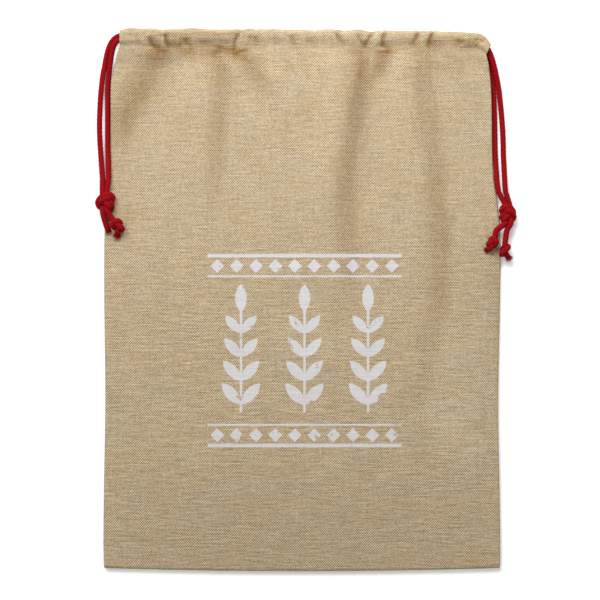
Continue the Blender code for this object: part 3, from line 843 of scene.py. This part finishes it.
def casing_points(is_front, across, out, share, is_outer):
    """Points of one row of the casing's section, all the way across."""
    x, y = stitch_point(across, is_front)
    width, lean, push = CASING_WIDTH, 0.0, 0.0
    rise = np.full_like(across, CASING_RISE - PINCH)
    ramp_end = RAMP_END
    if is_front:
        width = read_rows(CASING_END, across, 1) + read_rows(STITCH_SAG, x)
        lean = np.radians(read_rows(CASING_END, across, 2))
        push = sum(row[2] * bell(x - row[0], row[1]) for row in EDGE_BUMPS) * ease((out - 0.5) * 2)
    if is_front and is_outer:
        rise = rise + read_rows(CASING_SHAPE, x, 1)
        ramp_end = read_rows(CASING_SHAPE, x, 2)
    ramp = ease(out / ramp_end) if share is None else share
    half = PINCH * (1.0 if share is None else share) + rise * ramp
    if is_front and is_outer:
        half = half - pucker_depth(x, out) * ramp
    reach = width * out + push
    middle = FRONT_CASING_Z if is_front else BACK_CASING_Z
    outward = 1.0 if is_front == is_outer else -1.0
    return np.stack([x + reach * np.sin(lean), y + reach * np.cos(lean), middle + outward * half], -1)


# Painted shade in the cloth's dips: how far to each side to look, the depth of full shade, and its
# strength.
HOLLOW_REACH = 0.012
HOLLOW_DEPTH = 0.0016
HOLLOW_SHADE = 0.3


def painted_hollow_shade(grid):
    """Painted shade in the dips of the cloth, from 0 to HOLLOW_SHADE, looking to both sides."""
    depth = []
    for x, _, z in grid.transpose(0, 2, 1):
        beside = (np.interp(x - HOLLOW_REACH, x, z) + np.interp(x + HOLLOW_REACH, x, z)) / 2
        depth.append(beside - z)
    return np.clip(np.array(depth) / HOLLOW_DEPTH, 0.0, 1.0) * HOLLOW_SHADE


COLUMNS_CROWDED = 0.55
ROWS_CROWDED = 0.5


def crowded_to_ends(count, share):
    """Places from 0 to 1 that lie closer together at both ends."""
    even = np.linspace(0.0, 1.0, count + 1)
    return even - share * np.sin(2 * pi * even) / (2 * pi)


def make_panel(name, is_front, columns, rows, section, material):
    """A panel as one sheet, from its bottom seam on round its casing, and its stitch line.

    The casing's inner layer ends short of both sides, where the cords come out.
    """
    across = crowded_to_ends(columns, COLUMNS_CROWDED)
    ups = crowded_to_ends(rows, ROWS_CROWDED)
    grid = [body_points(is_front, across, up) for up in ups]
    for out, share, is_outer in section:
        grid.append(casing_points(is_front, across, out, share, is_outer))
    grid = np.array(grid)
    steps = lengths(np.diff(grid[rows:], axis=0)).mean(axis=1)
    x, y = grid[..., 0], grid[..., 1]
    # Painted shade in the cloth's dips, and on the front also on its folds and strokes.
    shade = painted_hollow_shade(grid)
    body = rows + 1
    if is_front:
        shade[:body] += folds(x[:body], y[:body])[1]
        outer = body + sum(is_outer for _, _, is_outer in section)
        shade[:outer] += crease_shade(grid[:outer, :, :2])
    # The place on the cloth, and its painted shade from LIGHTEST (painted light) to 1.
    cloth_place_and_shade = np.stack([x, y, np.clip(shade, LIGHTEST, 1.0)], -1)
    cloth_place_and_shade[body:, :, 0] = x[rows]
    cloth_place_and_shade[body:, :, 1] = y[rows] + np.cumsum(steps)[:, None]

    middles = (across[:-1] + across[1:]) / 2 * SACK_WIDTH
    near_end = (middles < INNER_LAYER_CUTS[0]) | (SACK_WIDTH - middles < INNER_LAYER_CUTS[1])
    is_inner = np.array([False] * rows + [not is_outer for _, _, is_outer in section])
    quads = grid_faces(np.arange(x.size).reshape(x.shape))
    quads = quads[~(is_inner[:, None] & near_end)]
    if not is_front:
        quads = quads[:, (0, 3, 2, 1)]
    used, faces = np.unique(quads, return_inverse=True)
    points, places = grid.reshape(-1, 3)[used], cloth_place_and_shade.reshape(-1, 3)[used]
    mesh = make_mesh(name, points, faces.reshape(-1, 4).tolist(), "cloth_place_and_shade", places)
    panel = add_object(name, mesh, material)
    solidify = panel.modifiers.new("cloth", "SOLIDIFY")
    solidify.thickness = CLOTH
    solidify.offset = 0.0
    solidify.use_even_offset = True
    return panel, grid[rows]


STITCH_LENGTH = 0.003
STITCH_STEP = 0.0042
STITCH_RADIUS = 0.0003


def make_stitches(name, line, side, material):
    """Short stitches along a line, on the cloth's upper (side 1) or lower side (-1)."""
    mesh = bpy.data.meshes.new(name)
    bm = bmesh.new()
    places = smooth_route(line, STITCH_STEP)
    shape = Matrix.Diagonal((STITCH_LENGTH / 2, STITCH_RADIUS, STITCH_RADIUS, 1.0))
    for before, after in zip(places, places[1:]):
        middle = (before + after) / 2 + (0.0, 0.0, side * CLOTH / 2)
        turn = Matrix.Rotation(atan2(after[1] - before[1], after[0] - before[0]), 4, "Z")
        matrix = Matrix.Translation(middle) @ turn @ shape
        bmesh.ops.create_uvsphere(bm, u_segments=8, v_segments=6, radius=1.0, matrix=matrix)
    bm.to_mesh(mesh)
    bm.free()
    return add_object(name, mesh, material)


# --- The cords ---

CORD_SIDES = 32
RING_STEP = 0.00055
BRAID_RELIEF = 0.00022
RELIEF_OUT = 1.6
YARN_ROUND = 0.45
TAPER = 0.002
TIP_SHARE = 0.15


def ring_frames(line):
    """Directions across and up at each point of a line, without any twist."""
    along = unit(np.gradient(line, axis=0))
    side = np.cross(along[0], (0.0, 0.0, 1.0))
    sides = []
    for direction in along:
        side = unit(side - direction * (side @ direction))
        sides.append(side)
    return np.array(sides), np.cross(sides, along)


def braid(turn, along):
    """Height of a braid's yarns from 0 to 1, at a share of a turn and a distance along."""
    a = YARNS_AROUND / 2 * turn + along / BRAID_LENGTH
    b = YARNS_AROUND / 2 * turn - along / BRAID_LENGTH
    on_top = (np.floor(a) + np.floor(b)) % 2
    from_a = a - np.floor(a) - 0.5
    from_b = b - np.floor(b) - 0.5
    across = np.where(on_top > 0, from_a, from_b)
    lengthwise = np.where(on_top > 0, from_b, from_a)
    return np.cos(pi * across) * (1.0 - YARN_ROUND + YARN_ROUND * np.cos(pi * lengthwise))


def make_cord(name, line, material, widths, sides=CORD_SIDES, step=RING_STEP):
    """A closed braided tube along a line. Widths has rows of (share of length, of width)."""
    line = smooth_route(line, step)
    side, up = ring_frames(line)
    distance = np.arange(len(line)) * step
    turn = np.arange(sides) / sides
    height = braid(turn[None, :], distance[:, None])
    taper = np.sqrt(np.clip(np.minimum(distance, distance[::-1]) / TAPER, TIP_SHARE, 1.0))
    taper = taper * read_rows(widths, np.linspace(0.0, 1.0, len(line)))
    radius = CORD / 2 + (height * RELIEF_OUT - 1.0) * BRAID_RELIEF
    radius = radius * taper[:, None]
    angle = 2 * pi * turn[:, None]
    outward = np.cos(angle) * side[:, None] + np.sin(angle) * up[:, None]
    points = line[:, None] + radius[..., None] * outward
    index = np.arange(radius.size).reshape(radius.shape)
    faces = tube_faces(index) + [index[0][::-1].tolist(), index[-1].tolist()]
    cord_at = np.stack([*np.broadcast_arrays(turn, distance[:, None], height)], -1)
    mesh = make_mesh(name, points, faces, "cord_at", cord_at)
    return add_object(name, mesh, material), line


LEFT_TURN_X = -0.213
RIGHT_TURN_X = 0.203
LEFT_JOIN_X = -0.206
RIGHT_JOIN_X = 0.193
LANE_END = 0.93
SETTLED = 0.0008
LANE_SHIFT_FROM = 0.006
LANE_SHIFT_LENGTH = 0.035

# How far above the stitch line the lower and the upper run lie.
# (near the ends, between them)
LANES = ((0.0074, 0.0092), (0.0152, 0.0158))
RUN_STEP = 0.006
TURN_STEPS = 10


def held_run(join_x, turn_x, front_is_low):
    """A cord's run along both casings, with its turn between them."""
    x = np.linspace(join_x, turn_x, round(abs(turn_x - join_x) / RUN_STEP) + 1)
    left, right = edge_x(np.array(STITCH_LINE[0][1]), True)
    across = np.minimum((x - left) / (right - left), LANE_END)
    stitch_y = read_rows(STITCH_LINE, across)
    from_end = np.minimum(x - LEFT_TURN_X, RIGHT_TURN_X - x)
    puffed = ease((from_end - LANE_SHIFT_FROM) / LANE_SHIFT_LENGTH)
    low, high = [stitch_y + lerp(*lane, puffed) for lane in LANES]
    front_y, back_y = (low, high) if front_is_low else (high, low)
    front = np.stack([x, front_y, FRONT_CASING_Z - SETTLED * puffed], -1)
    back = np.stack([x, back_y, np.full_like(x, BACK_CASING_Z)], -1)[::-1]
    middle = (front[-1] + back[0]) / 2
    radius = front[-1] - middle
    outward = np.array((copysign(lengths(radius), turn_x - join_x), 0.0, 0.0))
    angles = pi * np.arange(1, TURN_STEPS) / TURN_STEPS
    turn = [middle + radius * cos(angle) + outward * sin(angle) for angle in angles]
    return np.concatenate([front, turn, back])


# --- The knots ---

SPACING = 0.0022
PULL_STEPS = 500
PULL_SHARE = 0.8
LINK_PASSES = 6
PUSH_PASSES = 2
PUSH_SHARE = 0.275
BEND_SHARE = 0.12
CENTRE_SHARE = 0.02
TOUCHING = 1.6
NEIGHBOURS = 1.25
TAKE_IN_POWER = 1.5
NEARLY_ZERO = 1e-9
EASE_PASSES = 3
EASE_SHARE = 0.5
SLACK_POINTS = 60
SLACK_SIZE = 0.01
SLACK_RISE = 1.3 * CORD
CUT_GAP = 0.55
END_KNOT_HALF_HEIGHT = 0.0052


def slack_overhand(middle, facing):
    """A wide open overhand knot from top to bottom, with its loops to one side."""
    turn = np.linspace(3 * pi - CUT_GAP, pi + CUT_GAP, SLACK_POINTS)
    down = np.sin(turn) + 2 * np.sin(2 * turn)
    out = np.cos(turn) - 2 * np.cos(2 * turn) + 2.0
    x = middle[0] + facing * out * SLACK_SIZE
    return np.stack([x, middle[1] - down * SLACK_SIZE, middle[2] - np.sin(3 * turn) * SLACK_RISE], -1)


def resting_height(x, y):
    """The lowest a cord's middle can lie, on the floor or on the sack."""
    left, right = edge_x(y, True)
    inset = np.minimum(x - left, right - x)
    below = STITCH_LINE[0][1] - y
    cloth = front_height(x, y, below, np.maximum(inset, 0.0), y - BOTTOM_Y)
    return np.where(inset > -CORD / 3, cloth + (CLOTH + CORD + GAP) / 2, LYING)


def line_length(line):
    return float(lengths(np.diff(line, axis=0)).sum())


def straighten(line, at, share):
    """Moves points towards the middle between their neighbours."""
    line[at] += ((line[at - 1] + line[at + 1]) / 2 - line[at]) * share


def tie(
    lines, tails, middle, facing, knot_length, squeeze,
    half_height=END_KNOT_HALF_HEIGHT, lanes=(0.0,)
):
    """Carries cords' middle lines on through one overhand knot, pulled tight, to their tails.

    Each line's last two points and its tail's two stay where they are. Its lane is how far
    right of the shared knot it runs. The knot closes as the spare length is taken in.
    """
    thick = CORD * squeeze
    shared = slack_overhand(middle, facing)
    along = unit(np.gradient(shared[:, :2], axis=0))
    right = np.stack([-along[:, 1], along[:, 0], np.zeros(len(along))], -1)
    counts, parts, full_steps = [], [], []
    for line, tail, lane in zip(lines, tails, lanes):
        top, end = line[-2:], pins(*tail)
        slack = np.concatenate([top, shared + right * lane, end])
        count = round((lengths(top[0] - end[-1]) + knot_length) / SPACING) + 1
        full_step = line_length(slack) / (count - 1)
        part = smooth_route(slack, full_step)
        part[:2], part[-2:] = top, end
        counts.append(count)
        parts.append(part)
        full_steps.append(full_step)
    points = np.concatenate(parts)
    cord = np.repeat(np.arange(len(counts)), counts)
    order = np.concatenate([np.arange(count) for count in counts])
    from_end = np.repeat(counts, counts) - 1 - order
    free = ((order > 1) & (from_end > 1)).astype(float)[:, None]
    same_cord = cord[:, None] == cord[None, :]
    neighbours = same_cord & (abs(order[:, None] - order[None, :]) * SPACING < NEIGHBOURS * thick)
    first, second = np.nonzero(np.triu(~neighbours, 1))
    links = [np.nonzero((from_end > 0) & (order % 2 == parity))[0] for parity in (0, 1)]
    bends = np.nonzero((order > 0) & (from_end > 0))[0]

    for n in range(PULL_STEPS):
        taken_in = min(1.0, n / (PULL_STEPS * PULL_SHARE))
        steps = SPACING + (np.array(full_steps)[cord] - SPACING) * (1.0 - taken_in) ** TAKE_IN_POWER
        for _ in range(LINK_PASSES):
            for link in links:
                apart = points[link + 1] - points[link]
                far = lengths(apart)[:, None]
                both = np.maximum(free[link] + free[link + 1], NEARLY_ZERO)
                move = apart * (far - steps[link][:, None]) / np.maximum(far, NEARLY_ZERO) / both
                points[link] += move * free[link]
                points[link + 1] -= move * free[link + 1]
        straighten(points, bends, BEND_SHARE * free[bends])
        for _ in range(PUSH_PASSES):
            apart = points[second] - points[first]
            square = (apart**2).sum(axis=1)
            hit = np.nonzero(square < thick**2)[0]
            far = np.sqrt(square[hit])[:, None]
            push = apart[hit] * (thick - far) / np.maximum(far, NEARLY_ZERO) * PUSH_SHARE
            np.add.at(points, first[hit], -push * free[first[hit]])
            np.add.at(points, second[hit], push * free[second[hit]])
        close = np.nonzero(square < (TOUCHING * CORD) ** 2)[0]
        touches = np.bincount(np.concatenate([first[close], second[close]]), minlength=len(points))
        if len(close):
            knot_middle = (points * touches[:, None]).sum(axis=0) / touches.sum()
            shift = (np.array(middle) - knot_middle) * (CENTRE_SHARE, CENTRE_SHARE, 0.0)
            points += shift * free * np.minimum(2 * touches / touches.max(), 1.0)[:, None]
        low = np.maximum(resting_height(points[:, 0], points[:, 1]), middle[2] - half_height)
        level = np.clip(points[:, 2], low, np.maximum(low, middle[2] + half_height))
        points[:, 2] += (level - points[:, 2]) * free[:, 0]
    for _ in range(EASE_PASSES):
        straighten(points, bends, EASE_SHARE * free[bends])
    knotted = np.split(points, np.cumsum(counts)[:-1])
    return [np.concatenate([line[:-2], part]) for line, part in zip(lines, knotted)]


def pins(start, towards):
    """Two points that hold a cord's place and direction."""
    return np.array([start, start + unit(np.subtract(towards, start)) * SPACING])


KNOTTED_LENGTH = 0.13
CORNER_PASSES = 2
STRAND_WIDTH = 1.06
KNOTTED_WIDTH = 1.12
WIDENING = 0.08
STRAND_START = ((0.0, 1.0), (0.07, 1.0), (0.14, STRAND_WIDTH))
HELD_WIDTHS = ((0.0, 1.0), (0.02, 1.0), (0.07, 0.62), (0.93, 0.62), (0.98, 1.0), (1.0, 1.0))
HELD_SIDES = 16
HELD_RING_STEP = 0.0013
HELD_ABOVE_KNOT = 0.018
LANE = 0.0034
SHARED_KNOT = {
    "knot_length": 0.072, "squeeze": 0.78, "half_height": 0.0056, "lanes": (-LANE, LANE)
}


def strand(route):
    """A cord's middle line down its route, to just above its knot."""
    return smooth_route(route, SPACING)[:-round(HELD_ABOVE_KNOT / SPACING)]


def rounded_end(line):
    """The line with the sharp corners of its knotted end eased."""
    line = line.copy()
    knotted = np.arange(len(line) - round(KNOTTED_LENGTH / SPACING), len(line) - 1)
    for _ in range(CORNER_PASSES):
        straighten(line, knotted, EASE_SHARE)
    return line


FIBRE_SEED = 11
FIBRE_SIDES = 4
FIBRE_RINGS = 5
FIBRE_RADIUS = 0.0002
FIBRE_ROOT = 0.0015
FIBRE_SPREAD = 0.45
FIBRE_CURL = 0.15
FIBRE_REACH = (0.6, 1.2)
FIBRE_THINNING = 0.6
FRAY_RELIEF = 0.6


def make_fray(name, line, count, length, flare, material, rng):
    """Loose fibres that spread from the end of a cord, by flare times its width."""
    tip = line[-1]
    along = unit(tip - line[-4])
    side = unit(np.cross(along, (0.0, 0.0, 1.0)))
    up = np.cross(side, along)
    turns = 2 * pi * np.arange(FIBRE_SIDES) / FIBRE_SIDES
    points, faces = [], []
    for _ in range(count):
        angle, out = rng.uniform(0.0, 2 * pi), sqrt(rng.uniform(0.0, 1.0))
        spread = side * cos(angle) + up * sin(angle)
        curl = side * rng.normal(0.0, 1.0) + up * rng.normal(0.0, 1.0)
        reach = length * rng.uniform(*FIBRE_REACH)
        index = len(points) + np.arange(FIBRE_RINGS * FIBRE_SIDES)
        faces += tube_faces(index.reshape(FIBRE_RINGS, FIBRE_SIDES))
        for ring in range(FIBRE_RINGS):
            share = ring / (FIBRE_RINGS - 1)
            middle = tip + along * lerp(-FIBRE_ROOT, reach, share)
            middle += spread * out * CORD * (FIBRE_SPREAD + flare * share)
            middle += curl * reach * FIBRE_CURL * share**2
            middle[2] = max(middle[2], FIBRE_RADIUS)
            radius = FIBRE_RADIUS * (1.0 - FIBRE_THINNING * share)
            points += [middle + (side * cos(t) + up * sin(t)) * radius for t in turns]
    mesh = make_mesh(name, points, faces, "cord_at", [(0.0, 0.0, FRAY_RELIEF)] * len(points))
    return add_object(name, mesh, material)


# --- Build ---

add_camera()
cord_material = make_cord_material()
left_outer, left_inner = tie(
    (strand(LEFT_OUTER_ROUTE), strand(LEFT_INNER_ROUTE)),
    (((-0.2452, 0.09, 0.0102), (-0.2444, 0.0866, 0.0098)),
     ((-0.2412, 0.106, 0.0156), (-0.2387, 0.1016, 0.0162))),
    (-0.2475, 0.1235, 0.015), 1, **SHARED_KNOT,
)
right_inner, right_outer = tie(
    (strand(RIGHT_INNER_ROUTE), strand(RIGHT_OUTER_ROUTE)),
    (((0.2456, 0.089, 0.0122), (0.244, 0.0858, 0.0126)),
     ((0.259, 0.09, 0.0106), (0.2574, 0.0825, 0.0116))),
    (0.26, 0.109, 0.0094), -1, **SHARED_KNOT,
)
left_inner, = tie(
    [left_inner], [((-0.2325, 0.085, 0.014), (-0.233, 0.083, 0.013))],
    (-0.2318, 0.0925, 0.017), 1, 0.056, 0.92,
)
right_inner, = tie(
    [right_inner], [((0.2358, 0.065, 0.013), (0.2338, 0.064, 0.0125))],
    (0.2396, 0.07, 0.0138), -1, 0.046, 0.8,
)
right_outer, = tie(
    [right_outer], [((0.259, 0.057, 0.011), (0.2605, 0.0545, 0.0098))],
    (0.2552, 0.0632, 0.0124), 1, 0.048, 0.82,
)

# (name, line, far end, (fibres, length, flare) of its fray, the solid pieces it stands for)
cords = (
    ("left_outer", left_outer, "bare", (120, 0.0024, 0.2),
     ("left_outer_strand", "left_knot", "left_short_tail")),
    ("left_inner", left_inner, "knot", (220, 0.0036, 0.45),
     ("left_inner_strand", "left_knot", "left_long_tail", "left_end_knot")),
    ("right_inner", right_inner, "knot", (160, 0.0034, 0.3),
     ("right_inner_strand", "right_knot", "right_inner_tail", "right_inner_end_knot")),
    ("right_outer", right_outer, "knot", (200, 0.0052, 0.35),
     ("right_outer_strand", "right_knot", "right_outer_tail", "right_outer_end_knot")),
)
fibre_rng = np.random.default_rng(FIBRE_SEED)
for name, line, far_end, fray_sizes, nodes in cords:
    line = rounded_end(line)
    knot_share = 1.0 - KNOTTED_LENGTH / line_length(line)
    widths = (
        *STRAND_START, (knot_share - WIDENING, STRAND_WIDTH),
        (knot_share, KNOTTED_WIDTH), (1.0, KNOTTED_WIDTH),
    )
    cord, line = make_cord(name + "_cord", line, cord_material, widths)
    fray = make_fray(name + "_fray", line, *fray_sizes, cord_material, fibre_rng)
    for piece in (cord, fray):
        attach(piece, "root")
    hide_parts(*nodes)
runs = {
    "left_cord_run": held_run(LEFT_JOIN_X, RIGHT_TURN_X, True),
    "right_cord_run": held_run(RIGHT_JOIN_X, LEFT_TURN_X, False),
}
for name, route in runs.items():
    run, _ = make_cord(name + "_cord", route, cord_material, HELD_WIDTHS, HELD_SIDES, HELD_RING_STEP)
    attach(run, "root")
    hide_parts(name)

add_surroundings()
burlap = make_burlap("burlap", False)
printed = make_burlap("printed_burlap", True)
front, front_seam = make_panel("front_cloth", True, 240, 150, casing_section(16, 12, 8), printed)
back, back_seam = make_panel("back_cloth", False, 120, 90, casing_section(8, 8, 5), burlap)
thread = Graph("stitch_thread").shade({"Base Color": THREAD_COLOR, "Roughness": 0.8})
front_stitches = make_stitches("front_stitches", front_seam, 1, thread)
back_stitches = make_stitches("back_stitches", back_seam, -1, thread)
for piece in (front, back, front_stitches, back_stitches):
    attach(piece, "root")
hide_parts("front_panel")
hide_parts("back_panel")
